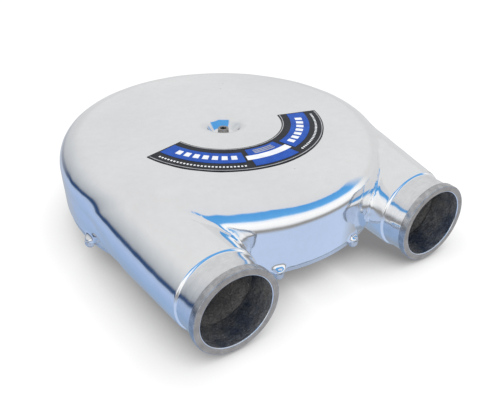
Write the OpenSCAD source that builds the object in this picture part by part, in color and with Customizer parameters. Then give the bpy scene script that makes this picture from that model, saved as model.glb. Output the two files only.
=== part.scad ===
// Twin-inlet carburettor hat. A polished cast housing with two parallel hose necks is
// bolted to a base plate, whose collar slips over a carburettor's air horn. A centre
// stud and its nut hold the hat down. Millimetres, +Z up, the origin in the middle of
// the collar's open lower end, the necks pointing along -Y.

/* [Housing] */
// Radius of the round housing's side wall
disc_r = 168; // [164:1:172]
// Height of the flat top above the collar's lower end
top_z = 98; // [97:0.5:100]
// Depth of the housing from its flat top to its lower rim
housing_depth = 69.5; // [68:0.5:71]
// Radius of the rounded shoulder between top and side wall
shoulder_r = 28; // [22:1:32]
// Thickness of the cast walls
wall_t = 5; // [4:0.5:6]
// Radius that rounds the housing's lower outer edge
rim_round_r = 3; // [1:0.5:4]

/* [Dish] */
// Radius of the recess in the middle of the top
dish_r = 30; // [28:1:34]
// Depth of the recess
dish_depth = 14; // [10:0.5:16]
// Radius of the recess's flat floor
dish_floor_r = 10; // [8:0.5:12]

/* [Necks] */
// Distance of each neck's mouth from the middle plane
neck_x = 112; // [110:0.5:114]
// Height of each neck's axis at the mouth
neck_z = 42.5; // [42:0.5:44]
// Distance from the middle of the hat to the mouths
mouth_y = 197.5; // [194:0.5:204]
// Distance from the middle of the hat to the step before the hose land
step_y = 168; // [164:1:172]
// Radius of the cast neck body at that step
neck_tip_r = 40.3; // [39.5:0.1:41.5]
// Radius of the cast neck body where it leaves the housing
neck_root_r = 48; // [46:0.5:49]
// Outside diameter of the land that the hose pushes onto
land_d = 76.2; // [75:0.1:77]
// Diameter of the bead at the mouth
bead_d = 80; // [79:0.5:82]
// Length of the bead
bead_len = 7; // [5:0.5:8]
// Diameter of the machined bore
bore_d = 67; // [66:0.5:68]
// How far the crown's axis lies out from the neck's own, halfway along
crown_out = 8; // [6:0.5:10]
// How far the crown's side stands proud of the neck there
crown_full = 1.1; // [0.5:0.1:2]

/* [Base] */
// Thickness of the base plate
base_t = 4; // [3.5:0.5:4.5]
// Bore of the collar for a 130.2 mm air horn
collar_bore_d = 130.8; // [130.6:0.1:131.4]
// Thickness of the collar's wall
collar_t = 5; // [4:0.5:5.5]
// Depth of the collar's bore
collar_bore_len = 20; // [18:0.5:20]
// Radius of the air opening above the collar
air_hole_r = 60; // [56:1:61]
// Number of lugs along the back, from one neck round to the other
rear_lugs = 6; // [5:1:7]
// Angle of the outermost rear lugs in front of the middle
side_lug_a = 9; // [8:0.5:10]
// Angle of the two front lugs either side of the middle plane
front_lug_a = 15.3; // [12:0.1:18]
// Radius of a lug's rounded end
lug_r = 5.2; // [5:0.1:6]

/* [Fasteners] */
// Diameter of the centre stud
stud_d = 6.3; // [6.2:0.05:6.3]
// Length of the stud's lower thread, which screws into the carburettor
stud_end_len = 14; // [10:1:16]
// Width across flats of the hold-down nut
nut_af = 11.1; // [11:0.1:11.5]
// Height of the hold-down nut
nut_h = 6.4; // [5.6:0.1:7]
// Diameter of the base screws
screw_d = 4; // [3.5:0.1:4.5]

/* [Badge] */
// Inner radius of the curved badge
badge_r0 = 60.8; // [58:0.2:62]
// Outer radius of the curved badge
badge_r1 = 104.2; // [100:0.2:106]
// Half of the badge's angle, about the front
badge_half_a = 75.2; // [60:0.2:80]
// Thickness of the badge's backing
badge_t = 0.5; // [0.4:0.1:0.8]

/* [Hidden] */
$fn = 96;

eps = 0.01;
rim_z = top_z - housing_depth;
dish_z = top_z - dish_depth;
plate_z = rim_z - base_t;

// A neck's straight axis runs from the root, inside the housing, to the step.
root_x = disc_r - 0.5 - neck_root_r;
root_z = top_z - 1 - neck_root_r;
axis_dx = neck_x - root_x;
axis_dz = neck_z - root_z;
axis_over = 6;

// The lower half of each neck starts as a round end this far along the axis.
bulge_y = 80;
bulge_lip = 0.6;
bulge_f = bulge_y / step_y;
bulge_r = neck_root_r + (neck_tip_r - neck_root_r) * bulge_f;
bulge_x = root_x + axis_dx * bulge_f;
bulge_z = root_z + axis_dz * bulge_f;

// The crown that carries the shoulder on: its radius at the root, and at the knee.
crown_r0 = shoulder_r - 0.5;
crown_r1 = bulge_r + crown_full - crown_out;

// The flange inside the lower rim, and the gasket set into the plate under it.
flange_t = 5;
flange_w = 12;
plate_inset = 3;
gasket_inset = 5;
gasket_w = 9;
gasket_t = 1;
shadow_gap = 0.6;

lug_ring_r = disc_r - 0.8;
lug_h = 4.5;
ear_trim = 0.4;
screw_reach = 8;
screw_hole_over = 1.2;
screw_head_r = 3.5;
screw_head_h = 2.4;
socket_af = 2.5;
socket_depth = 1.3;
screw_washer_r = 4.2;
screw_washer_t = 0.8;
screw_hole_gap = 0.3;

lug_angles = concat(
    [for (i = [0:rear_lugs - 1]) -side_lug_a + i * (180 + 2 * side_lug_a) / (rear_lugs - 1)],
    [-90 + front_lug_a, -90 - front_lug_a]);

boss_r = 13;
boss_h = 12;
boss_z = dish_z - boss_h;
stud_r = stud_d / 2;
stud_hole_r = stud_r + 0.3;
stud_low_z = 9;
washer_t = 1.6;
washer_r = 6.4;
thread_gap = 0.05;
nut_z = dish_z + washer_t;
nut_chamfer = 1.2;
stud_top_z = nut_z + nut_h - 4.6;
stud_relief = 0.45;
lower_washer_t = 1.5;
lower_washer_r = 8;
lock_nut_h = 5;
carb_gasket_t = 2;

badge_panel_t = 0.2;
badge_edge = 1.2;
badge_line = 0.9;
panel_r0 = badge_r0 + 9.6;
panel_r1 = badge_r0 + 28.8;
panel_end_a = 1.3;
panel_inner_a = 18.5;
middle_half_a = 14.5;
middle_r0 = badge_r0 + 5.5;
middle_r1 = badge_r1 - 5.5;
bar_half_a = 17;
bar_r0 = badge_r0 + 18;
bar_r1 = badge_r0 + 26;

// ---- shared shapes -------------------------------------------------------

// Half outline of the round housing, shrunk by t all round
module disc_outline(t, low_z) {
    r = shoulder_r - t;
    wide = disc_r - t;
    high = top_z - t;
    union() {
        translate([0, low_z]) square([wide - r, high - low_z]);
        translate([0, low_z]) square([wide, high - r - low_z]);
        translate([wide - r, high - r]) circle(r);
    }
}

module disc(t, low_z) {
    rotate_extrude($fn = 180) intersection() {
        disc_outline(t, low_z);
        square([disc_r + 1, top_z + 1]);
    }
}

// Tapered cylinder between two points, carried on past both ends by over
module taper(p0, p1, r0, r1, over) {
    d = p1 - p0;
    len = norm(d);
    slope = (r1 - r0) / len;
    translate(p0) rotate([0, acos(d[2] / len), atan2(d[1], d[0])])
        translate([0, 0, -over])
            cylinder(h = len + 2 * over, r1 = r0 - slope * over, r2 = r1 + slope * over);
}

// Tapered body of the right-hand neck, shrunk by t all round. A second pair of cones
// carries the housing's shoulder along its outer top edge.
module neck_cone(t) {
    tip = [neck_x, -step_y, neck_z];
    knee = [bulge_x + crown_out, -bulge_y, bulge_z + crown_out];
    taper([root_x, 0, root_z], tip, neck_root_r - t, neck_tip_r - t, axis_over);
    taper([disc_r - 0.5 - crown_r0, 0, top_z - 1 - crown_r0], knee, crown_r0 - t, crown_r1 - t, 0);
    taper(knee, tip, crown_r1 - t, neck_tip_r - 0.1 - t, 0);
}

// The part of that body behind the step
module neck_body(t, floor_z) {
    big = 3 * disc_r;
    // upper part: it runs back into the housing above the floor
    intersection() {
        neck_cone(t);
        translate([0, -step_y, floor_z]) cube([big, step_y + 20, big]);
    }
    // lower part: it starts at the round end
    intersection() {
        neck_cone(t);
        translate([0, -step_y, -big / 2]) cube([big, step_y - bulge_y, big]);
    }
    translate([bulge_x, -bulge_y, bulge_z]) rotate([90, 0, 0]) sphere(bulge_r + bulge_lip - t);
}

// A cylinder along a neck's mouth axis, between two distances from the middle
module along_mouth(r, from_y, to_y) {
    translate([neck_x, -from_y, neck_z]) rotate([90, 0, 0]) cylinder(h = to_y - from_y, r = r);
}

module bead() {
    edge = 1;
    r = bead_d / 2;
    translate([neck_x, -mouth_y + bead_len, neck_z]) rotate([90, 0, 0])
        rotate_extrude() union() {
            square([r - edge, bead_len]);
            translate([0, edge]) square([r, bead_len - 2 * edge]);
            translate([r - edge, edge]) circle(edge);
            translate([r - edge, bead_len - edge]) circle(edge);
        }
}

module both_sides() {
    children();
    mirror([1, 0, 0]) children();
}

// Plan of one neck's lower body, grown by g
module neck_shadow(g) {
    r = bulge_r + g;
    translate([bulge_x, -bulge_y]) circle(r);
    translate([bulge_x - r, -2 * disc_r]) square([2 * disc_r, 2 * disc_r - bulge_y]);
}

// Plan of the base plate's joint, shrunk by g
module joint_plan(g) {
    difference() {
        circle(disc_r - plate_inset - g, $fn = 180);
        both_sides() neck_shadow(shadow_gap + g);
    }
}

module at_lug(i) {
    rotate([0, 0, lug_angles[i]]) translate([lug_ring_r, 0, 0]) children();
}

module at_lugs() {
    for (i = [0:len(lug_angles) - 1]) at_lug(i) children();
}

module hex_prism(af, h) {
    cylinder(h = h, r = af / 2 / cos(30), $fn = 6);
}

// Flat sector of a ring about the middle of the hat, centred on the front
module arc_sector(r0, r1, a0, a1, z, t) {
    translate([0, 0, z]) rotate([0, 0, a0 - 90])
        rotate_extrude(angle = a1 - a0, $fn = 180) translate([r0, 0]) square([r1 - r0, t]);
}

// ---- castings ------------------------------------------------------------

module housing_solid() {
    difference() {
        disc(0, rim_z);
        // rounded lower edge
        rotate_extrude($fn = 180) difference() {
            translate([disc_r - rim_round_r, rim_z - 1]) square([rim_round_r + 1, rim_round_r + 1]);
            translate([disc_r - rim_round_r, rim_z + rim_round_r]) circle(rim_round_r);
        }
    }
    both_sides() {
        neck_body(0, rim_z);
        along_mouth(land_d / 2, step_y - 10, mouth_y - bead_len / 2);
        bead();
    }
    at_lugs() translate([0, 0, rim_z]) {
        cylinder(h = lug_h - 2, r = lug_r);
        translate([0, 0, lug_h - 2]) cylinder(h = 2, r1 = lug_r, r2 = lug_r - 2);
    }
}

module housing_hollow() {
    // plenum above the flange
    disc(wall_t, rim_z + flange_t);
    // opening in the flange
    translate([0, 0, rim_z - 1]) linear_extrude(flange_t + 2) joint_plan(flange_w);
    both_sides() {
        neck_body(wall_t, rim_z + flange_t);
        along_mouth(bore_d / 2, step_y - 4, mouth_y + 1);
    }
}

module dish_cut() {
    // the cone runs on above the flat top
    over = 0.2;
    translate([0, 0, dish_z])
        cylinder(h = dish_depth * (1 + over), r1 = dish_floor_r,
                 r2 = dish_r + (dish_r - dish_floor_r) * over);
}

module dish_wall() {
    intersection() {
        disc(1, rim_z);
        translate([0, 0, dish_z - wall_t])
            cylinder(h = dish_depth, r1 = dish_floor_r + wall_t, r2 = dish_r + wall_t);
    }
    translate([0, 0, boss_z]) cylinder(h = boss_h, r = boss_r);
}

module hat_housing() {
    color("gainsboro") difference() {
        union() {
            difference() {
                housing_solid();
                housing_hollow();
            }
            dish_wall();
        }
        dish_cut();
        translate([0, 0, boss_z - 1]) cylinder(h = boss_h + 2, r = stud_hole_r);
        at_lugs() translate([0, 0, rim_z - 1])
            cylinder(h = screw_reach - base_t - screw_washer_t + screw_hole_over, r = screw_d / 2);
    }
}

module plate_plan() {
    difference() {
        union() {
            joint_plan(0);
            at_lugs() circle(lug_r - ear_trim);
        }
        at_lugs() circle(screw_d / 2 + screw_hole_gap);
    }
}

module base_plate() {
    color("silver") difference() {
        union() {
            translate([0, 0, plate_z]) linear_extrude(base_t) plate_plan();
            cylinder(h = plate_z + 1, r = collar_bore_d / 2 + collar_t);
        }
        translate([0, 0, -1]) cylinder(h = collar_bore_len + 1, r = collar_bore_d / 2);
        translate([0, 0, collar_bore_len]) cylinder(h = carb_gasket_t, r = collar_bore_d / 2 + 1.5);
        translate([0, 0, -1]) cylinder(h = rim_z + 2, r = air_hole_r);
        translate([0, 0, rim_z - gasket_t]) linear_extrude(gasket_t + 1) gasket_plan();
    }
}

// ---- seals ---------------------------------------------------------------

module gasket_plan() {
    difference() {
        joint_plan(gasket_inset);
        joint_plan(gasket_inset + gasket_w);
    }
}

module base_gasket() {
    color("dimgray") translate([0, 0, rim_z - gasket_t]) linear_extrude(gasket_t) gasket_plan();
}

module air_horn_gasket() {
    color("black") translate([0, 0, collar_bore_len]) difference() {
        cylinder(h = carb_gasket_t, r = collar_bore_d / 2 + 1.3);
        translate([0, 0, -1]) cylinder(h = carb_gasket_t + 2, r = air_hole_r + 0.5);
    }
}

module sealing_washer() {
    color("black") translate([0, 0, dish_z]) difference() {
        cylinder(h = washer_t, r = washer_r);
        translate([0, 0, -1]) cylinder(h = washer_t + 2, r = stud_hole_r);
    }
}

// ---- centre fastening ----------------------------------------------------

module centre_stud() {
    tip = 1;
    bevel = 0.8;
    shank_z = stud_low_z + tip + stud_end_len;
    upper_z = boss_z - lower_washer_t - lock_nut_h - 3;
    color("dimgray") {
        translate([0, 0, stud_low_z]) cylinder(h = tip, r1 = stud_r - bevel, r2 = stud_r);
        translate([0, 0, stud_low_z + tip]) cylinder(h = stud_end_len, r = stud_r);
        // the shank between the two threads is rolled down
        translate([0, 0, shank_z]) cylinder(h = upper_z - shank_z, r = stud_r - stud_relief);
        translate([0, 0, upper_z]) cylinder(h = stud_top_z - tip - upper_z, r = stud_r);
        translate([0, 0, stud_top_z - tip]) cylinder(h = tip, r1 = stud_r, r2 = stud_r - bevel);
    }
}

module hold_down_nut() {
    corner_r = nut_af / 2 / cos(30);
    color("silver") translate([0, 0, nut_z]) difference() {
        intersection() {
            hex_prism(nut_af, nut_h);
            union() {
                cylinder(h = nut_h - nut_chamfer, r = corner_r + 1);
                translate([0, 0, nut_h - nut_chamfer])
                    cylinder(h = nut_chamfer, r1 = corner_r, r2 = corner_r - nut_chamfer);
            }
        }
        translate([0, 0, -1]) cylinder(h = nut_h + 2, r = stud_r + thread_gap);
        translate([0, 0, nut_h - 0.6]) cylinder(h = 0.6 + eps, r1 = stud_r + thread_gap, r2 = stud_r + 0.6);
    }
}

module lower_washer() {
    color("silver") translate([0, 0, boss_z - lower_washer_t]) difference() {
        cylinder(h = lower_washer_t, r = lower_washer_r);
        translate([0, 0, -1]) cylinder(h = lower_washer_t + 2, r = stud_hole_r);
    }
}

module stud_lock_nut() {
    color("silver") translate([0, 0, boss_z - lower_washer_t - lock_nut_h]) difference() {
        hex_prism(nut_af, lock_nut_h);
        translate([0, 0, -1]) cylinder(h = lock_nut_h + 2, r = stud_r);
    }
}

// ---- base screws ---------------------------------------------------------

module base_screw(i) {
    color("silver") at_lug(i) translate([0, 0, plate_z - screw_washer_t]) difference() {
        union() {
            cylinder(h = screw_reach, r = screw_d / 2);
            translate([0, 0, -screw_head_h + 1]) cylinder(h = screw_head_h - 1, r = screw_head_r);
            translate([0, 0, -screw_head_h]) cylinder(h = 1, r1 = screw_head_r - 1, r2 = screw_head_r);
        }
        translate([0, 0, -screw_head_h - eps]) hex_prism(socket_af, socket_depth);
    }
}

module screw_washer(i) {
    color("silver") at_lug(i) translate([0, 0, plate_z - screw_washer_t]) difference() {
        cylinder(h = screw_washer_t, r = screw_washer_r);
        translate([0, 0, -1]) cylinder(h = screw_washer_t + 2, r = screw_d / 2 + 0.2);
    }
}

// ---- badge ---------------------------------------------------------------

module badge_backing() {
    color("black") arc_sector(badge_r0, badge_r1, -badge_half_a, badge_half_a, top_z, badge_t);
}

module side_panel(side) {
    a0 = side > 0 ? panel_inner_a : -badge_half_a + panel_end_a;
    a1 = side > 0 ? badge_half_a - panel_end_a : -panel_inner_a;
    color("royalblue") arc_sector(panel_r0, panel_r1, a0, a1, top_z + badge_t, badge_panel_t);
}

module badge_left_panel() {
    side_panel(-1);
}

module badge_right_panel() {
    side_panel(1);
}

module badge_middle_panel() {
    color("royalblue") difference() {
        arc_sector(middle_r0, middle_r1, -middle_half_a, middle_half_a, top_z + badge_t, badge_panel_t);
        arc_sector(bar_r0, bar_r1, -bar_half_a, bar_half_a, top_z, 2);
    }
}

module badge_middle_bar() {
    color("white")
        arc_sector(bar_r0, bar_r1, -bar_half_a, bar_half_a, top_z + badge_t, 1.5 * badge_panel_t);
}

module badge_trim() {
    color("silver") for (r = [badge_r0 + badge_edge, badge_r1 - badge_edge - badge_line])
        arc_sector(r, r + badge_line, -badge_half_a + 1, badge_half_a - 1, top_z + badge_t, badge_panel_t);
}

// ---- assembly ------------------------------------------------------------

hat_housing();
base_plate();
base_gasket();
air_horn_gasket();
centre_stud();
hold_down_nut();
sealing_washer();
lower_washer();
stud_lock_nut();
badge_backing();
badge_left_panel();
badge_right_panel();
badge_middle_panel();
badge_middle_bar();
badge_trim();
for (i = [0:7]) {
    base_screw(i);
    screw_washer(i);
}
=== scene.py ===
"""Twin-inlet carburettor hat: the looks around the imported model.

The cast housing is replaced by a smooth skin. It is the level set of a distance field that blends
the round housing with its two tapered necks and its lugs; the inside walls, the turned neck ends and the
badge's printed detail are pieces of their own. Lengths in the shape code are millimetres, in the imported
model's axes.
"""
import math

import bmesh
import bpy
import numpy as np
from mathutils import Matrix, Vector

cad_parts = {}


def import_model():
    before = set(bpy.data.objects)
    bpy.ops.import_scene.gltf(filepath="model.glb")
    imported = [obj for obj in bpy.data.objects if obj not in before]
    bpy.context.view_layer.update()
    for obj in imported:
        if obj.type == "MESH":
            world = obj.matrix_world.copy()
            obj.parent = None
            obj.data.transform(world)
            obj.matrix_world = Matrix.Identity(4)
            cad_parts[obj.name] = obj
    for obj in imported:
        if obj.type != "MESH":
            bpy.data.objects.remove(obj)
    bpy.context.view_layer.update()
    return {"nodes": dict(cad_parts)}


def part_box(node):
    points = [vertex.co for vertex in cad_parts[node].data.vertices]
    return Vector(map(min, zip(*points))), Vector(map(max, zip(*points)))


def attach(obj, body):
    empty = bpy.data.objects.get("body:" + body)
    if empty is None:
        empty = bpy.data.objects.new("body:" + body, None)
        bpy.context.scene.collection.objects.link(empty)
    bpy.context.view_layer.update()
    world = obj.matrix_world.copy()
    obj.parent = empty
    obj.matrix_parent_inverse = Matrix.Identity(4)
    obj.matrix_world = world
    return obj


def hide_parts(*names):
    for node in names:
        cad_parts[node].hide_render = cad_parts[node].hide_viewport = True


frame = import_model()

MM = 0.001
nodes = frame["nodes"]

# ---- the casting's numbers ---------------------------------------------------

DISC_R = 168.0
TOP_Z = 98.0
RIM_Z = 28.5
SHOULDER = 28.0
DRAFT = 0.034            # the side wall leans in towards the rim
WALL = 5.0
DISH_FLAT = 9.0
DISH_SLOPE = math.radians(57.0)
DISH_LOW = 4.0           # radius of the bend at the dish's foot
DISH_HIGH = 13.0         # and at its brim
DISH_DEPTH = 14.0
NECK_X = 112.0
NECK_Z = 42.5
STEP_Y = -168.0
MOUTH_Y = -197.5
TIP_R = 40.3
CLIP_Y = -166.2          # each neck's skin ends here and its turned end begins
CLIP_X = 50.0            # points further out than this belong to a neck
CLIP_R = TIP_R + 0.12    # radius of the circle where the two meet
LAND_R = 38.1            # hose land, bead and bore of a turned end
BEAD_R = 40.0
BORE_R = 33.5
ROOT = (119.5, 0.0, 49.0)
ROOT_R = 48.0
TIP = (NECK_X, STEP_Y, NECK_Z)
BULGE = (115.93, -80.0, 45.9)
BULGE_R = 44.7
KNEE = (BULGE[0] + 8.0, BULGE[1], BULGE[2] + 8.0)
KNEE_R = 37.8
CROWN_R = 27.5
CROWN = (DISC_R - 0.5 - CROWN_R, 0.0, TOP_Z - 1.0 - CROWN_R)
BOSS_R = 13.0
BOSS_Z = 72.0
PLATE_R = 161.0          # inside this radius the base plate hides the joint face
LUG_RING = 167.0
LUG_R = 4.3
LUG_TOP = 31.4
LUG_ANGLES = [-9.0 + 39.6 * i for i in range(6)] + [-90.0 + 15.3, -90.0 - 15.3]


# ---- distance field ----------------------------------------------------------

def smin(a, b, k):
    h = np.maximum(k - np.abs(a - b), 0.0) / k
    return np.minimum(a, b) - h * h * k * 0.25


def smax(a, b, k):
    return -smin(-a, -b, k)


def round_cone(p, a, b, r1, r2):
    """Distance to the hull of a ball at a and a ball at b."""
    a, b = np.array(a), np.array(b)
    ba = b - a
    l2 = float(ba @ ba)
    rr = r1 - r2
    a2 = l2 - rr * rr
    pa = p - a
    y = pa @ ba
    z = y - l2
    q = pa * l2 - y[..., None] * ba
    x2 = np.einsum("...i,...i->...", q, q)
    y2 = y * y * l2
    z2 = z * z * l2
    k = math.copysign(1.0, rr) * rr * rr * x2
    side = (np.sqrt(x2 * a2 / l2) + y * rr) / l2 - r1
    past_b = np.sqrt(x2 + z2) / l2 - r2
    past_a = np.sqrt(x2 + y2) / l2 - r1
    out = np.where(np.sign(z) * a2 * z2 > k, past_b, side)
    return np.where(np.sign(y) * a2 * y2 < k, past_a, out)


def dish_drop(r):
    """Depth of the dish: a round bend, a straight slope and a wider round bend."""
    sin, cos = math.sin(DISH_SLOPE), math.cos(DISH_SLOPE)
    foot, brim = DISH_LOW * (1.0 - cos), DISH_HIGH * (1.0 - cos)
    run = (DISH_DEPTH - foot - brim) / sin * cos
    x = r - DISH_FLAT
    wide = (DISH_LOW + DISH_HIGH) * sin + run
    low = DISH_LOW - np.sqrt(DISH_LOW ** 2 - np.clip(x, 0.0, DISH_LOW * sin) ** 2)
    high = DISH_HIGH - np.sqrt(DISH_HIGH ** 2 - np.clip(wide - x, 0.0, DISH_HIGH * sin) ** 2)
    straight = np.clip(x - DISH_LOW * sin, 0.0, run) * sin / cos
    return DISH_DEPTH - (low + straight + brim - high)


def disc_field(r, z, floor_z):
    below = TOP_Z - SHOULDER - z
    soft = 0.5 * (below + np.sqrt(below * below + 60.0))
    r = r + DRAFT * soft
    z = z + dish_drop(r)
    qx = r - (DISC_R - SHOULDER)
    qz = z - (TOP_Z - SHOULDER)
    corner = np.hypot(np.maximum(qx, 0.0), np.maximum(qz, 0.0))
    f = corner + np.minimum(np.maximum(qx, qz), 0.0) - SHOULDER
    return smax(f, floor_z - z, 3.6)


def neck_field(p, floor_z):
    core = round_cone(p, ROOT, TIP, ROOT_R, TIP_R)
    crown = np.minimum(round_cone(p, CROWN, KNEE, CROWN_R, KNEE_R),
                       round_cone(p, KNEE, TIP, KNEE_R, TIP_R - 0.3))
    blend = np.interp(p[..., 1], [-166.0, -120.0, -70.0, -40.0], [0.3, 3.5, 3.0, 1.0])
    upper = smin(core, crown, blend)
    upper = smax(upper, floor_z - p[..., 2], 3.0)
    low = round_cone(p, BULGE, TIP, BULGE_R, TIP_R)
    return np.minimum(upper, low)


def base_field(p, floor_z, ripple=0.0):
    """The casting; ripple is the hand-filed unevenness of the valleys beside the necks, in mm."""
    q = np.array(p)
    q[..., 0] = np.abs(q[..., 0])
    r = np.hypot(q[..., 0], q[..., 1])
    k = np.interp(q[..., 1], [-90.0, -40.0], [3.0, 1.5])
    disc, neck = disc_field(r, q[..., 2], floor_z), neck_field(q, floor_z)
    f = smin(disc, neck, k)
    if ripple:
        here = np.clip((-90.0 - p[..., 1]) / 25.0, 0.0, 1.0) * off_clip(p)
        f = f + np.exp(-((disc - neck) / 9.0) ** 2) * here * waves(p, 21, ripple, 28.0)
    return f


def off_clip(p):
    """0 at CLIP_Y, where the skin has to be round, and 1 from 14 mm behind it."""
    return np.clip((p[..., 1] - CLIP_Y) / 14.0, 0.0, 1.0)


def waves(p, seed, amount, longest):
    """Smooth unevenness of a hand-polished sand casting."""
    rng = np.random.default_rng(seed)
    out = np.zeros(p.shape[:-1])
    for i in range(18):
        d = rng.normal(size=3)
        d *= 2.0 * math.pi / (longest * (0.4 + 0.6 * rng.random())) / np.linalg.norm(d)
        out += np.sin(p @ d + rng.random() * 6.283)
    return out * amount / 18.0 ** 0.5


def lug_field(p):
    """Soft knobs on the rim, over the ears of the base plate."""
    soft = 1.8
    out = np.full(p.shape[:-1], 1000.0)
    for a in LUG_ANGLES:
        x, y = LUG_RING * math.cos(math.radians(a)), LUG_RING * math.sin(math.radians(a))
        out = np.minimum(out, np.hypot(p[..., 0] - x, p[..., 1] - y))
    side = out - LUG_R + soft
    top = p[..., 2] - LUG_TOP + soft
    f = np.hypot(np.maximum(side, 0.0), np.maximum(top, 0.0)) + np.minimum(np.maximum(side, top), 0.0) - soft
    return smax(f, RIM_Z - p[..., 2], 1.0)


def outer_field(p):
    f = smin(base_field(p, RIM_Z, 0.3), lug_field(p), 7.0)
    r = np.hypot(p[..., 0], p[..., 1])
    uneven = off_clip(p) * np.clip((r - 12.0) / 20.0, 0.0, 1.0)
    return f + uneven * (waves(p, 5, 0.10, 70.0) + waves(p, 9, 0.02, 26.0))


def inner_field(p):
    f = base_field(p, RIM_Z - WALL - 2.0) + WALL
    r = np.hypot(p[..., 0], p[..., 1])
    boss = np.maximum(r - BOSS_R, BOSS_Z - p[..., 2])
    return smax(f, -boss, 3.0) + waves(p, 3, 0.12, 24.0)


# ---- level set to mesh -------------------------------------------------------

CORNERS = [(i, j, k) for i in (0, 1) for j in (0, 1) for k in (0, 1)]


def surface_nets(f, lo, step):
    """Points and quads of the surface where f is zero; the quads face up f."""
    s = f < 0.0
    n = np.array(f.shape)
    count = np.zeros(n - 1, np.int8)
    for c in CORNERS:
        count += s[tuple(slice(o, o + m - 1) for o, m in zip(c, n))]
    active = (count > 0) & (count < 8)
    cells = np.argwhere(active)
    index = np.full(active.shape, -1, np.int64)
    index[active] = np.arange(len(cells))
    pos = np.zeros((len(cells), 3))
    hits = np.zeros(len(cells))
    for a in CORNERS:
        for axis in range(3):
            if a[axis]:
                continue
            b = list(a)
            b[axis] = 1
            fa = f[tuple((cells + a).T)]
            fb = f[tuple((cells + b).T)]
            cross = (fa < 0.0) != (fb < 0.0)
            t = np.where(cross, fa / np.where(cross, fa - fb, 1.0), 0.0)
            at = np.repeat(np.array(a, float)[None], len(cells), 0)
            at[:, axis] += t
            pos += at * cross[:, None]
            hits += cross
    verts = lo + step * (cells + pos / hits[:, None])
    quads = []
    for axis in range(3):
        u, v = (axis + 1) % 3, (axis + 2) % 3
        low = [slice(None)] * 3
        high = [slice(None)] * 3
        low[axis], high[axis] = slice(0, -1), slice(1, None)
        change = s[tuple(low)] != s[tuple(high)]
        e = np.argwhere(change)
        keep = (e[:, u] > 0) & (e[:, v] > 0) & (e[:, u] < n[u] - 1) & (e[:, v] < n[v] - 1)
        e = e[keep]
        du, dv = np.eye(3, dtype=int)[u], np.eye(3, dtype=int)[v]
        q = np.stack([index[tuple((e - o).T)] for o in (du + dv, dv, 0 * du, du)], 1)
        flip = ~s[tuple(e.T)]
        q[flip] = q[flip][:, ::-1]
        quads.append(q)
    return verts, np.concatenate(quads)


def gradient(field, p, h=0.05):
    g = np.empty_like(p)
    for i in range(3):
        d = np.zeros(3)
        d[i] = h
        g[:, i] = (field(p + d) - field(p - d)) / (2.0 * h)
    return g


def settle(field, p, fixed_y, rounds):
    """Moves the points onto the surface; fixed_y marks those that stay in their plane."""
    for _ in range(rounds):
        g = gradient(field, p)
        g[fixed_y, 1] = 0.0
        move = field(p)[:, None] * g / np.maximum((g * g).sum(1), 0.05)[:, None]
        p = p - np.clip(move, -1.5, 1.5)
    return p


def sample(field, lo, hi, step):
    count = np.ceil((hi - lo) / step).astype(int) + 1
    axes = [lo[i] + step * np.arange(count[i]) for i in range(3)]
    out = np.empty(count)
    for i, x in enumerate(axes[0]):
        p = np.stack(np.meshgrid([x], axes[1], axes[2], indexing="ij"), -1)[0]
        out[i] = field(p)
    return out


def level_set(name, field, lo, hi, step, drop, rim, inward=False):
    """Mesh of the surface; each neck is cut at CLIP_Y, on a circle of radius rim."""
    lo, hi = np.array(lo, float), np.array(hi, float)
    verts, quads = surface_nets(sample(field, lo, hi, step), lo, step)
    verts = settle(field, verts, np.zeros(len(verts), bool), 4)
    past = (np.abs(verts[:, 0]) > CLIP_X) & (verts[:, 1] < CLIP_Y)
    quads = quads[~past[quads].all(1)]
    verts[past, 1] = CLIP_Y
    verts = settle(field, verts, past, 4)
    side = np.sign(verts[past, 0])
    out_x, out_z = verts[past, 0] - side * NECK_X, verts[past, 2] - NECK_Z
    fit = rim / np.hypot(out_x, out_z)
    verts[past, 0], verts[past, 2] = side * NECK_X + out_x * fit, NECK_Z + out_z * fit
    quads = quads[~drop(verts[quads].mean(1))]
    used = np.unique(quads)
    remap = np.full(len(verts), -1)
    remap[used] = np.arange(len(used))
    verts, quads = verts[used], remap[quads]
    normals = gradient(field, verts)
    normals /= np.linalg.norm(normals, axis=1)[:, None]
    if inward:
        quads = quads[:, ::-1]
        normals = -normals
    mesh = bpy.data.meshes.new(name)
    mesh.from_pydata((verts * MM).tolist(), [], quads.tolist())
    mesh.shade_smooth()
    mesh.normals_split_custom_set_from_vertices(normals.tolist())
    obj = bpy.data.objects.new(name, mesh)
    bpy.context.scene.collection.objects.link(obj)
    return obj


# ---- mesh helpers ------------------------------------------------------------

def link(name, bm, sharp=math.radians(35.0)):
    mesh = bpy.data.meshes.new(name)
    bm.to_mesh(mesh)
    bm.free()
    mesh.shade_smooth()
    mesh.set_sharp_from_angle(angle=sharp)
    obj = bpy.data.objects.new(name, mesh)
    bpy.context.scene.collection.objects.link(obj)
    return obj


def arc(cx, cy, r, a0, a1, n=5):
    """Points on an arc, for lathe profiles."""
    return [(cx + r * math.cos(math.radians(a0 + (a1 - a0) * i / n)),
             cy + r * math.sin(math.radians(a0 + (a1 - a0) * i / n))) for i in range(n + 1)]


# ---- materials ---------------------------------------------------------------

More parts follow.
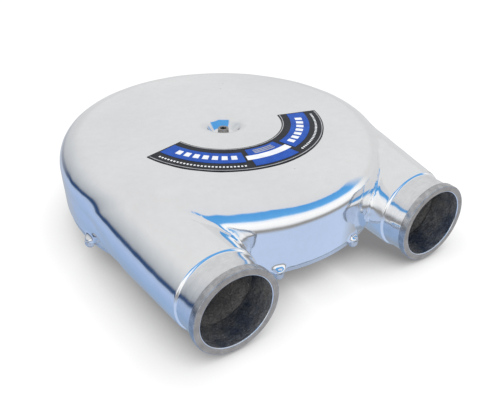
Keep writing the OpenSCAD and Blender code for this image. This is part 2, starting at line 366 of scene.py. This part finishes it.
class Tree:
    """Short names for building a node tree."""

    def __init__(self, tree):
        self.tree = tree

    def add(self, kind, **props):
        n = self.tree.nodes.new(kind)
        for k, v in props.items():
            setattr(n, k, v)
        return n

    def wire(self, a, b):
        self.tree.links.new(a, b)

    def feed(self, sock, v):
        if isinstance(v, bpy.types.NodeSocket):
            self.wire(v, sock)
        elif v is not None:
            sock.default_value = (*v, 1.0) if isinstance(v, tuple) else v

    def ramp(self, src, stops):
        r = self.add("ShaderNodeValToRGB")
        e = r.color_ramp.elements
        while len(e) < len(stops):
            e.new(0.5)
        for el, (at, col) in zip(e, stops):
            el.position = at
            el.color = (*col, 1.0)
        self.wire(src, r.inputs["Fac"])
        return r.outputs["Color"]

    def spread(self, src, lo, hi, to_lo, to_hi):
        m = self.add("ShaderNodeMapRange")
        for k, v in zip(("From Min", "From Max", "To Min", "To Max"), (lo, hi, to_lo, to_hi)):
            m.inputs[k].default_value = v
        self.wire(src, m.inputs["Value"])
        return m.outputs["Result"]

    def mix(self, kind, fac, a, b):
        m = self.add("ShaderNodeMix", data_type="RGBA", blend_type=kind)
        for sock, v in ((m.inputs[0], fac), (m.inputs[6], a), (m.inputs[7], b)):
            self.feed(sock, v)
        return m.outputs[2]

    def math(self, op, a, b=None):
        m = self.add("ShaderNodeMath", operation=op)
        self.feed(m.inputs[0], a)
        self.feed(m.inputs[1], b)
        return m.outputs[0]


class Nodes(Tree):
    """A material's tree round its Principled shader."""

    def __init__(self, name):
        self.mat = bpy.data.materials.new(name)
        self.mat.use_nodes = True
        super().__init__(self.mat.node_tree)
        self.bsdf = self.tree.nodes["Principled BSDF"]
        self.coord = self.add("ShaderNodeTexCoord").outputs["Object"]

    def noise(self, scale, detail=4.0, rough=0.55, stretch=None):
        n = self.add("ShaderNodeTexNoise")
        n.inputs["Scale"].default_value = scale
        n.inputs["Detail"].default_value = detail
        n.inputs["Roughness"].default_value = rough
        src = self.coord
        if stretch:
            m = self.add("ShaderNodeMapping")
            m.inputs["Scale"].default_value = stretch
            self.wire(src, m.inputs["Vector"])
            src = m.outputs["Vector"]
        self.wire(src, n.inputs["Vector"])
        return n.outputs["Fac"]

    def vector(self, op, a, b=None):
        m = self.add("ShaderNodeVectorMath", operation=op)
        self.wire(a, m.inputs[0])
        if b is not None:
            m.inputs[1].default_value = b
        return m.outputs["Value" if op == "LENGTH" else "Vector"]

    def bump(self, src, strength, distance, under=None):
        b = self.add("ShaderNodeBump")
        b.inputs["Strength"].default_value = strength
        b.inputs["Distance"].default_value = distance
        self.wire(src, b.inputs["Height"])
        if under is not None:
            self.wire(under, b.inputs["Normal"])
        return b.outputs["Normal"]

    def set(self, **values):
        for k, v in values.items():
            self.feed(self.bsdf.inputs[k.replace("_", " ")], v)


def polished_casting():
    n = Nodes("polished_casting")
    cloud = n.noise(9.0, 3.0)
    mottle = n.noise(120.0, 5.0, 0.65)
    tone = n.mix("MULTIPLY", 0.5,
                 n.ramp(cloud, [(0.3, (0.87, 0.875, 0.885)), (0.7, (0.93, 0.935, 0.94))]),
                 n.ramp(mottle, [(0.3, (0.93, 0.925, 0.92)), (0.7, (1.0, 1.0, 1.0))]))
    pit = n.add("ShaderNodeTexVoronoi")
    pit.inputs["Scale"].default_value = 70.0
    n.wire(n.coord, pit.inputs["Vector"])
    pits = n.spread(pit.outputs["Distance"], 0.0, 0.07, 1.0, 0.0)
    picked = n.math("MULTIPLY", pits, n.spread(n.noise(33.0, 2.0), 0.56, 0.62, 0.0, 1.0))
    colour = n.mix("MIX", picked, tone, (0.42, 0.40, 0.38))
    rough = n.spread(n.noise(60.0, 5.0, 0.6), 0.3, 0.7, 0.055, 0.12)
    fine = n.bump(n.noise(420.0, 3.0), 0.03, 0.0004)
    soft = n.bump(n.noise(38.0, 2.0), 0.05, 0.002, fine)
    sunk = n.bump(picked, -0.25, 0.0004, soft)
    n.set(Base_Color=colour, Metallic=1.0, Roughness=rough, Normal=sunk)
    return n.mat


def rough_cast(name, lo, hi, metallic, coarse):
    """Sand-cast wall: pits and grains with brown-grey patches; in the bore the dark blue end of the patches is
    painted shade and a painted reflection.
    """
    n = Nodes(name)
    grain = n.noise(620.0, 6.0, 0.7)
    patch = n.noise(38.0, 5.0, 0.6)
    colour = n.mix("MULTIPLY", 0.85,
                   n.ramp(patch, [(0.32, lo), (0.62, hi)]),
                   n.ramp(grain, [(0.35, (0.35, 0.35, 0.36)), (0.62, (1.0, 1.0, 1.0))]))
    bumps = n.bump(grain, 0.7, 0.001, n.bump(n.noise(coarse, 4.0, 0.6), 0.7, 0.003))
    n.set(Base_Color=colour, Metallic=metallic, Roughness=n.spread(grain, 0.3, 0.7, 0.38, 0.62), Normal=bumps)
    return n.mat


def turned(name, tone_lo, tone_hi, rough_lo, rough_hi, groove=1.0, flat=False, metallic=1.0):
    """Lathe-turned aluminium: fine rings about the neck's own axis, broken by handling marks."""
    n = Nodes(name)
    if flat:
        axis = n.vector("SUBTRACT", n.vector("ABSOLUTE", n.coord), (NECK_X * MM, 0.0, NECK_Z * MM))
        reach = n.vector("LENGTH", n.vector("MULTIPLY", axis, (1.0, 0.0, 1.0)))
        cut = n.add("ShaderNodeTexNoise", noise_dimensions="1D")
        cut.inputs["Scale"].default_value = 1500.0
        cut.inputs["Detail"].default_value = 3.0
        n.wire(reach, cut.inputs["W"])
        rings = cut.outputs["Fac"]
    else:
        rings = n.noise(1.0, 4.0, 0.6, (60.0, 2600.0, 60.0))
    marks = n.noise(160.0, 5.0, 0.65)
    colour = n.mix("MULTIPLY", 0.6,
                   n.ramp(marks, [(0.3, tone_lo), (0.7, tone_hi)]),
                   n.ramp(rings, [(0.3, (0.78, 0.78, 0.78)), (0.7, (1.0, 1.0, 1.0))]))
    n.set(Base_Color=colour, Metallic=metallic, Roughness=n.spread(marks, 0.3, 0.7, rough_lo, rough_hi),
          Normal=n.bump(rings, 0.12 * groove, 0.0003))
    return n.mat


def cast_base():
    n = Nodes("base_casting")
    grain = n.noise(500.0, 5.0, 0.65)
    wear = n.noise(14.0, 4.0)
    colour = n.mix("MULTIPLY", 0.6,
                   n.ramp(wear, [(0.3, (0.66, 0.665, 0.67)), (0.7, (0.80, 0.80, 0.80))]),
                   n.ramp(grain, [(0.3, (0.80, 0.80, 0.80)), (0.7, (1.0, 1.0, 1.0))]))
    n.set(Base_Color=colour, Metallic=1.0, Roughness=n.spread(grain, 0.3, 0.7, 0.26, 0.42),
          Normal=n.bump(grain, 0.18, 0.0004))
    return n.mat


def rubber():
    n = Nodes("gasket_rubber")
    grain = n.noise(700.0, 5.0)
    n.set(Base_Color=n.ramp(grain, [(0.3, (0.012, 0.012, 0.013)), (0.7, (0.035, 0.034, 0.034))]),
          Roughness=n.spread(grain, 0.3, 0.7, 0.55, 0.75), Normal=n.bump(grain, 0.3, 0.0003))
    return n.mat


def plated(name, lo, hi, rough_lo=0.2, rough_hi=0.38):
    n = Nodes(name)
    cloud = n.noise(260.0, 4.0)
    brush = n.noise(900.0, 4.0, 0.6, (1.0, 1.0, 6.0))
    n.set(Base_Color=n.ramp(cloud, [(0.3, lo), (0.7, hi)]), Metallic=1.0,
          Roughness=n.spread(brush, 0.3, 0.7, rough_lo, rough_hi), Normal=n.bump(brush, 0.15, 0.0002))
    return n.mat


def film(name, lo, hi, metallic=0.0, rough=0.28):
    """Printed vinyl: a faint print grain under a smooth gloss."""
    n = Nodes(name)
    grain = n.noise(1500.0, 3.0)
    dust = n.noise(90.0, 5.0, 0.6)
    colour = n.mix("MULTIPLY", 0.4, n.ramp(dust, [(0.35, lo), (0.65, hi)]),
                   n.ramp(grain, [(0.3, (0.85, 0.85, 0.85)), (0.7, (1.0, 1.0, 1.0))]))
    n.set(Base_Color=colour, Metallic=metallic, Roughness=n.spread(dust, 0.3, 0.7, rough, rough + 0.12),
          Normal=n.bump(n.noise(60.0, 3.0), 0.04, 0.001), Specular_IOR_Level=0.12)
    return n.mat


MAT = {
    "polished": polished_casting(),
    "rough": rough_cast("rough_cast_inside", (0.17, 0.18, 0.21), (0.74, 0.71, 0.68), 0.4, 150.0),
    # The bore's dark blue patch colour is painted shade and a painted reflection of the blue surroundings; the
    # brown-grey end and the grain are the cast wall's own colour.
    "bore": rough_cast("rough_cast_bore_painted_shade", (0.035, 0.065, 0.13), (0.36, 0.355, 0.35), 0.45, 190.0),
    "land": turned("turned_land", (0.78, 0.785, 0.80), (0.88, 0.885, 0.90), 0.08, 0.15, 0.6),
    "bead": turned("turned_bead", (0.36, 0.36, 0.37), (0.62, 0.62, 0.63), 0.20, 0.34, 1.3),
    # The mouth face's dark brown-grey tone is painted reflection and shade, standing in for the dim
    # surroundings that the flat turned face mirrors.
    "face": turned("turned_face_painted_reflection", (0.30, 0.275, 0.25), (0.44, 0.41, 0.38), 0.36, 0.5, 1.6, True, 0.45),
    "base": cast_base(),
    "rubber": rubber(),
    "nut": plated("plated_nut", (0.30, 0.285, 0.27), (0.52, 0.495, 0.46), 0.40, 0.52),
    "steel": plated("plated_steel", (0.52, 0.53, 0.54), (0.70, 0.70, 0.70)),
    "oxide": plated("stud_steel", (0.05, 0.05, 0.055), (0.12, 0.12, 0.125), 0.35, 0.5),
    "black": film("badge_black", (0.010, 0.012, 0.016), (0.022, 0.025, 0.031)),
    "blue": film("badge_blue", (0.008, 0.062, 0.36), (0.014, 0.092, 0.46)),
    "white": film("badge_white", (0.74, 0.77, 0.82), (0.88, 0.90, 0.93)),
    "silver": film("badge_silver", (0.42, 0.43, 0.45), (0.60, 0.61, 0.63), 0.6),
}


def dress(obj, *mats):
    if obj.data.materials:
        obj.data.materials.clear()
    for m in mats:
        obj.data.materials.append(MAT[m])
    return obj


CAD_LOOKS = {"base_plate": "base", "base_gasket": "rubber", "air_horn_gasket": "rubber",
             "centre_stud": "oxide", "hold_down_nut": "nut", "sealing_washer": "rubber",
             "lower_washer": "steel", "stud_lock_nut": "steel", "badge_backing": "black",
             "badge_left_panel": "blue", "badge_right_panel": "blue", "badge_middle_panel": "blue",
             "badge_middle_bar": "white", "badge_trim": "silver"}
for i in range(1, 9):
    CAD_LOOKS[f"base_screw_{i}"] = "steel"
    CAD_LOOKS[f"screw_washer_{i}"] = "steel"
for node, look in CAD_LOOKS.items():
    dress(nodes[node], look)
for node, width in (("hold_down_nut", 0.00035), ("stud_lock_nut", 0.0003), ("base_plate", 0.0005)):
    edge = nodes[node].modifiers.new("edge", "BEVEL")
    edge.width = width
    edge.segments = 2
    edge.limit_method = "ANGLE"
    edge.angle_limit = math.radians(35.0)
    edge.harden_normals = False


# ---- housing -----------------------------------------------------------------

def skin_drop(c):
    """The joint face is left out where the base plate covers it."""
    q = np.abs(c[:, 0])
    near_neck = ((np.hypot(q - BULGE[0], c[:, 1] - BULGE[1]) < BULGE_R + 4.0)
                 | ((q > BULGE[0] - BULGE_R - 4.0) & (c[:, 1] < BULGE[1])))
    return ((np.abs(c[:, 2] - RIM_Z) < 0.5) & (np.hypot(c[:, 0], c[:, 1]) < PLATE_R) & ~near_neck)


def inside_drop(c):
    q = np.abs(c)
    q[:, 1:] = c[:, 1:]
    in_neck = round_cone(q, BULGE, TIP, BULGE_R, TIP_R) < -4.0
    return (c[:, 2] < RIM_Z - 0.7) & ~in_neck


STEP = 2.0
skin = level_set("housing_skin", outer_field, (-177.0, -172.0, -3.0), (177.0, 177.0, 101.0), STEP, skin_drop,
                 CLIP_R)
inside = level_set("housing_inside", inner_field, (-170.0, -172.0, 0.5), (170.0, 168.0, 98.0),
                   STEP * 1.25, inside_drop, CLIP_R - WALL, inward=True)
dress(skin, "polished")
dress(inside, "rough")


def neck_end(name, side):
    """Turned end of a neck: step, hose land, bead, mouth face and bore, about the mouth's axis."""
    land, bead, bore = LAND_R, BEAD_R, BORE_R
    y = STEP_Y
    edge = 0.7               # rounding of the bead
    dip = MOUTH_Y + 0.12     # the ring turned a little deeper into the mouth face
    outline = [("polished", [(CLIP_R, CLIP_Y + 0.8), (CLIP_R, CLIP_Y), (TIP_R + 0.06, y + 1.1),
                             (TIP_R - 0.12, y + 0.4), (TIP_R - 0.45, y - 0.1), (TIP_R - 0.9, y - 0.45),
                             (land + 0.45, y - 0.95), (land + 0.15, y - 1.3), (land, y - 1.9)]),
               ("land", [(land, y - 1.9), (land, y - 8.0), (land, y - 15.0)]
                + arc(land + 0.6, MOUTH_Y + 7.6, 0.6, 180, 270, 3)),
               ("bead", [(land + 0.6, MOUTH_Y + 7.0)]
                + arc(bead - edge, MOUTH_Y + 7.0 - edge, edge, 90, 0, 4)
                + [(bead, MOUTH_Y + 3.5)] + arc(bead - edge, MOUTH_Y + edge, edge, 0, -90, 4)),
               ("face", [(bead - edge, MOUTH_Y), (38.7, MOUTH_Y), (38.5, dip),
                         (36.5, dip), (34.9, dip), (34.7, MOUTH_Y), (bore + 0.8, MOUTH_Y)]),
               ("land", arc(bore + 0.8, MOUTH_Y + 0.8, 0.8, -90, -180, 4)),
               ("bore", [(bore, MOUTH_Y + 0.8), (bore, MOUTH_Y + 8.0), (bore, MOUTH_Y + 18.0), (bore, y - 0.4),
                         (bore + 0.4, y), (TIP_R - WALL + 0.4, y + 0.4), (TIP_R - WALL + 0.2, CLIP_Y + 0.8)])]
    names = [o[0] for o in outline]
    turns = 144
    bm = bmesh.new()
    last = None
    for slot, (_, profile) in enumerate(outline):
        rows = []
        for rho, py in profile:
            if last is not None and abs(last[1] - rho) < 1e-6 and abs(last[2] - py) < 1e-6:
                rows.append(last[0])
                continue
            row = []
            for k in range(turns):
                a = 2.0 * math.pi * k / turns
                row.append(bm.verts.new(((side * NECK_X + rho * math.cos(a)) * MM, py * MM,
                                         (NECK_Z + rho * math.sin(a)) * MM)))
            rows.append(row)
            last = (row, rho, py)
        last = (rows[-1], *profile[-1])
        for r0, r1 in zip(rows, rows[1:]):
            if r0 is r1:
                continue
            for k in range(turns):
                f = bm.faces.new((r0[k], r0[(k + 1) % turns], r1[(k + 1) % turns], r1[k]))
                f.material_index = slot
    bmesh.ops.recalc_face_normals(bm, faces=bm.faces)
    obj = link(name, bm)
    return dress(obj, *names)


ends = [neck_end("neck_end_left", -1), neck_end("neck_end_right", 1)]


# ---- badge print -------------------------------------------------------------

def sector(bm, r0, r1, a0, a1, z, t=0.05):
    """Thin raised patch between two radii and two angles, degrees about the front."""
    n = max(2, int(abs(a1 - a0) / 1.5))
    rings = {}
    for r in (r0, r1):
        for h in (z, z + t):
            rings[r, h] = [bm.verts.new((r * math.sin(math.radians(a0 + (a1 - a0) * k / n)) * MM,
                                         -r * math.cos(math.radians(a0 + (a1 - a0) * k / n)) * MM, h * MM))
                           for k in range(n + 1)]
    lo_in, hi_in, lo_out, hi_out = rings[r0, z], rings[r0, z + t], rings[r1, z], rings[r1, z + t]
    for k in range(n):
        bm.faces.new((hi_in[k], hi_out[k], hi_out[k + 1], hi_in[k + 1]))
        bm.faces.new((lo_out[k], lo_out[k + 1], hi_out[k + 1], hi_out[k]))
        bm.faces.new((lo_in[k + 1], lo_in[k], hi_in[k], hi_in[k + 1]))
    for k in (0, n):
        bm.faces.new((lo_in[k], lo_out[k], hi_out[k], hi_in[k]))


def badge_print():
    z = nodes_top("badge_left_panel")
    white = bmesh.new()
    for side in (-1.0, 1.0):
        for k in range(7):
            a = side * (25.0 + 6.4 * k)
            sector(white, 76.0, 83.4, a - 2.0, a + 2.0, z)
        for k in range(26):
            a = side * (20.0 + 2.0 * k)
            sector(white, 95.2, 97.4, a - 0.55, a + 0.55, z - 0.2)
    bmesh.ops.recalc_face_normals(white, faces=white.faces)
    silver = bmesh.new()
    for k in range(3):
        sector(silver, 69.2 + 2.6 * k, 70.6 + 2.6 * k, -9.0, 9.0, z)
    bmesh.ops.recalc_face_normals(silver, faces=silver.faces)
    return [dress(link("badge_print_white", white), "white"),
            dress(link("badge_print_silver", silver), "silver")]


def nodes_top(node):
    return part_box(node)[1].z / MM


print_pieces = badge_print()

for piece in [skin, inside, *ends, *print_pieces]:
    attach(piece, "hat")
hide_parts("hat_housing")


# ---- stage -------------------------------------------------------------------

def floor():
    bm = bmesh.new()
    bmesh.ops.create_grid(bm, x_segments=8, y_segments=8, size=6.0)
    obj = link("floor", bm)
    obj.location.z = -0.0004
    obj.visible_glossy = False
    # The floor glows instead of being lit: its emission colour is a painted contact shadow, dark where an
    # ambient occlusion node finds the housing within 58 mm and white further out.
    n = Nodes("floor_glow_painted_shadow")
    reach = n.add("ShaderNodeAmbientOcclusion", samples=32)
    reach.inputs["Distance"].default_value = 0.058
    n.set(Base_Color=(0.02, 0.02, 0.02), Roughness=0.9, Specular_IOR_Level=0.0, Emission_Strength=1.0,
          Emission_Color=n.ramp(reach.outputs["AO"], [(0.22, (0.21, 0.21, 0.215)), (0.46, (0.52, 0.52, 0.525)),
                                                      (0.70, (0.84, 0.84, 0.845)), (0.96, (1.03, 1.03, 1.03))]))
    obj.data.materials.append(n.mat)


BACK = [(-90, (0.33, 0.40, 0.50)), (-45, (0.33, 0.40, 0.50)), (-33, (0.45, 0.47, 0.50)),
        (-18, (0.60, 0.61, 0.64)), (-8, (0.73, 0.74, 0.75)), (12, (0.73, 0.73, 0.735)),
        (22, (0.79, 0.795, 0.80)), (90, (0.79, 0.795, 0.80))]
LEFT = [(-90, (0.33, 0.47, 0.71)), (-42, (0.33, 0.47, 0.71)), (-25, (0.43, 0.56, 0.83)),
        (-17.5, (0.42, 0.53, 0.74)), (-15, (0.12, 0.17, 0.27)), (-13, (0.035, 0.075, 0.18)),
        (-8.5, (0.035, 0.075, 0.18)), (-6, (0.20, 0.23, 0.29)), (-3, (0.38, 0.41, 0.45)),
        (4, (0.48, 0.51, 0.55)), (15, (0.59, 0.62, 0.65)), (27, (0.70, 0.715, 0.735)),
        (40, (0.79, 0.79, 0.795)), (90, (0.79, 0.79, 0.795))]
FRONT = [(-90, (0.54, 0.66, 0.89)), (-30, (0.54, 0.66, 0.89)), (-24, (0.44, 0.50, 0.60)),
         (-19, (0.33, 0.32, 0.32)), (-14, (0.34, 0.33, 0.32)), (-9, (0.72, 0.74, 0.77)),
         (-4, (1.02, 1.03, 1.04)), (11, (1.10, 1.10, 1.10)), (20, (0.90, 0.96, 1.05)),
         (23, (0.36, 0.64, 0.98)), (27, (0.13, 0.43, 0.85)), (51, (0.09, 0.36, 0.78)),
         (52.5, (0.30, 0.52, 0.85)), (55, (0.76, 0.77, 0.80)), (90, (0.79, 0.79, 0.795))]


def world():
    """What the polished metal mirrors, as bands of elevation; everything else sees plain white."""
    w = bpy.data.worlds.new("studio")
    bpy.context.scene.world = w
    w.use_nodes = True
    t = Tree(w.node_tree)
    split = t.add("ShaderNodeSeparateXYZ")
    t.wire(t.add("ShaderNodeTexCoord").outputs["Generated"], split.inputs[0])
    elevation = t.math("MULTIPLY", t.math("ARCSINE", split.outputs["Z"]), 1.0 / math.pi)
    azimuth = t.math("MULTIPLY", t.math("ARCTAN2", split.outputs["Y"], split.outputs["X"]), 180.0 / math.pi)

    def bands(up, stops):
        return t.ramp(up, [(0.5 + degrees / 180.0, colour) for degrees, colour in stops])

    # the front panels stand nearer towards the right, so their bands narrow there
    narrow = t.spread(azimuth, -80.0, -30.0, 1.0, 1.65)
    up = t.math("ADD", elevation, 0.5)
    up_front = t.math("ADD", t.math("MULTIPLY", elevation, narrow), 0.5)
    off_left = t.math("ABSOLUTE", t.math("SUBTRACT", azimuth, 150.0))
    rear = t.mix("MIX", t.spread(off_left, 30.0, 75.0, 1.0, 0.0), bands(up, BACK), bands(up, LEFT))
    off_front = t.math("ABSOLUTE", t.math("ADD", azimuth, 95.0))
    seen = t.mix("MIX", t.spread(off_front, 70.0, 84.0, 1.0, 0.0), rear, bands(up_front, FRONT))
    # azimuths just past 180 degrees belong to the left as well
    wrap = t.spread(azimuth, -179.0, -165.0, 1.0, 0.0)
    seen = t.mix("MIX", wrap, seen, bands(up, LEFT))
    path = t.add("ShaderNodeLightPath")
    direct = t.math("LESS_THAN", path.outputs["Diffuse Depth"], 0.5)
    plain = t.mix("MIX", path.outputs["Is Camera Ray"], (1.0, 1.0, 1.0), (1.05, 1.05, 1.05))
    mirrored = t.math("MULTIPLY", path.outputs["Is Glossy Ray"], direct)
    background = w.node_tree.nodes["Background"]
    t.wire(t.mix("MIX", mirrored, plain, seen), background.inputs["Color"])
    background.inputs["Strength"].default_value = 1.0


def lamp(name, at, size, power, tint):
    data = bpy.data.lights.new(name, "AREA")
    data.shape = "DISK"
    data.size = size
    data.energy = power
    data.color = tint
    obj = bpy.data.objects.new(name, data)
    obj.location = at
    obj.rotation_euler = (Vector((0.0, 0.0, 0.0)) - Vector(at)).to_track_quat("-Z", "Y").to_euler()
    obj.visible_glossy = False
    bpy.context.scene.collection.objects.link(obj)


def camera():
    az, el, roll = math.radians(-35.21), math.radians(32.39), math.radians(1.33)
    back = Vector((math.sin(az) * math.cos(el), -math.cos(az) * math.cos(el), math.sin(el)))
    right = Vector((math.cos(az), math.sin(az), 0.0))
    up = back.cross(right)
    x = math.cos(roll) * right + math.sin(roll) * up
    y = -math.sin(roll) * right + math.cos(roll) * up
    data = bpy.data.cameras.new("camera")
    data.lens = 43.2
    data.sensor_width = 36.0
    data.clip_start = 0.02
    data.clip_end = 50.0
    obj = bpy.data.objects.new("camera", data)
    radius = DISC_R * MM
    obj.matrix_world = Matrix(((x.x, y.x, back.x, -1.8174 * radius), (x.y, y.y, back.y, -2.8828 * radius),
                               (x.z, y.z, back.z, 1.5797 * radius + TOP_Z * MM), (0, 0, 0, 1)))
    bpy.context.scene.collection.objects.link(obj)
    bpy.context.scene.camera = obj


floor()
world()
lamp("key", (0.9, 1.0, 2.6), 1.5, 20.0, (1.0, 0.99, 0.98))
lamp("fill", (-1.6, -1.2, 2.2), 1.8, 3.0, (0.98, 0.99, 1.0))
camera()
bpy.context.scene.view_settings.view_transform = "Standard"
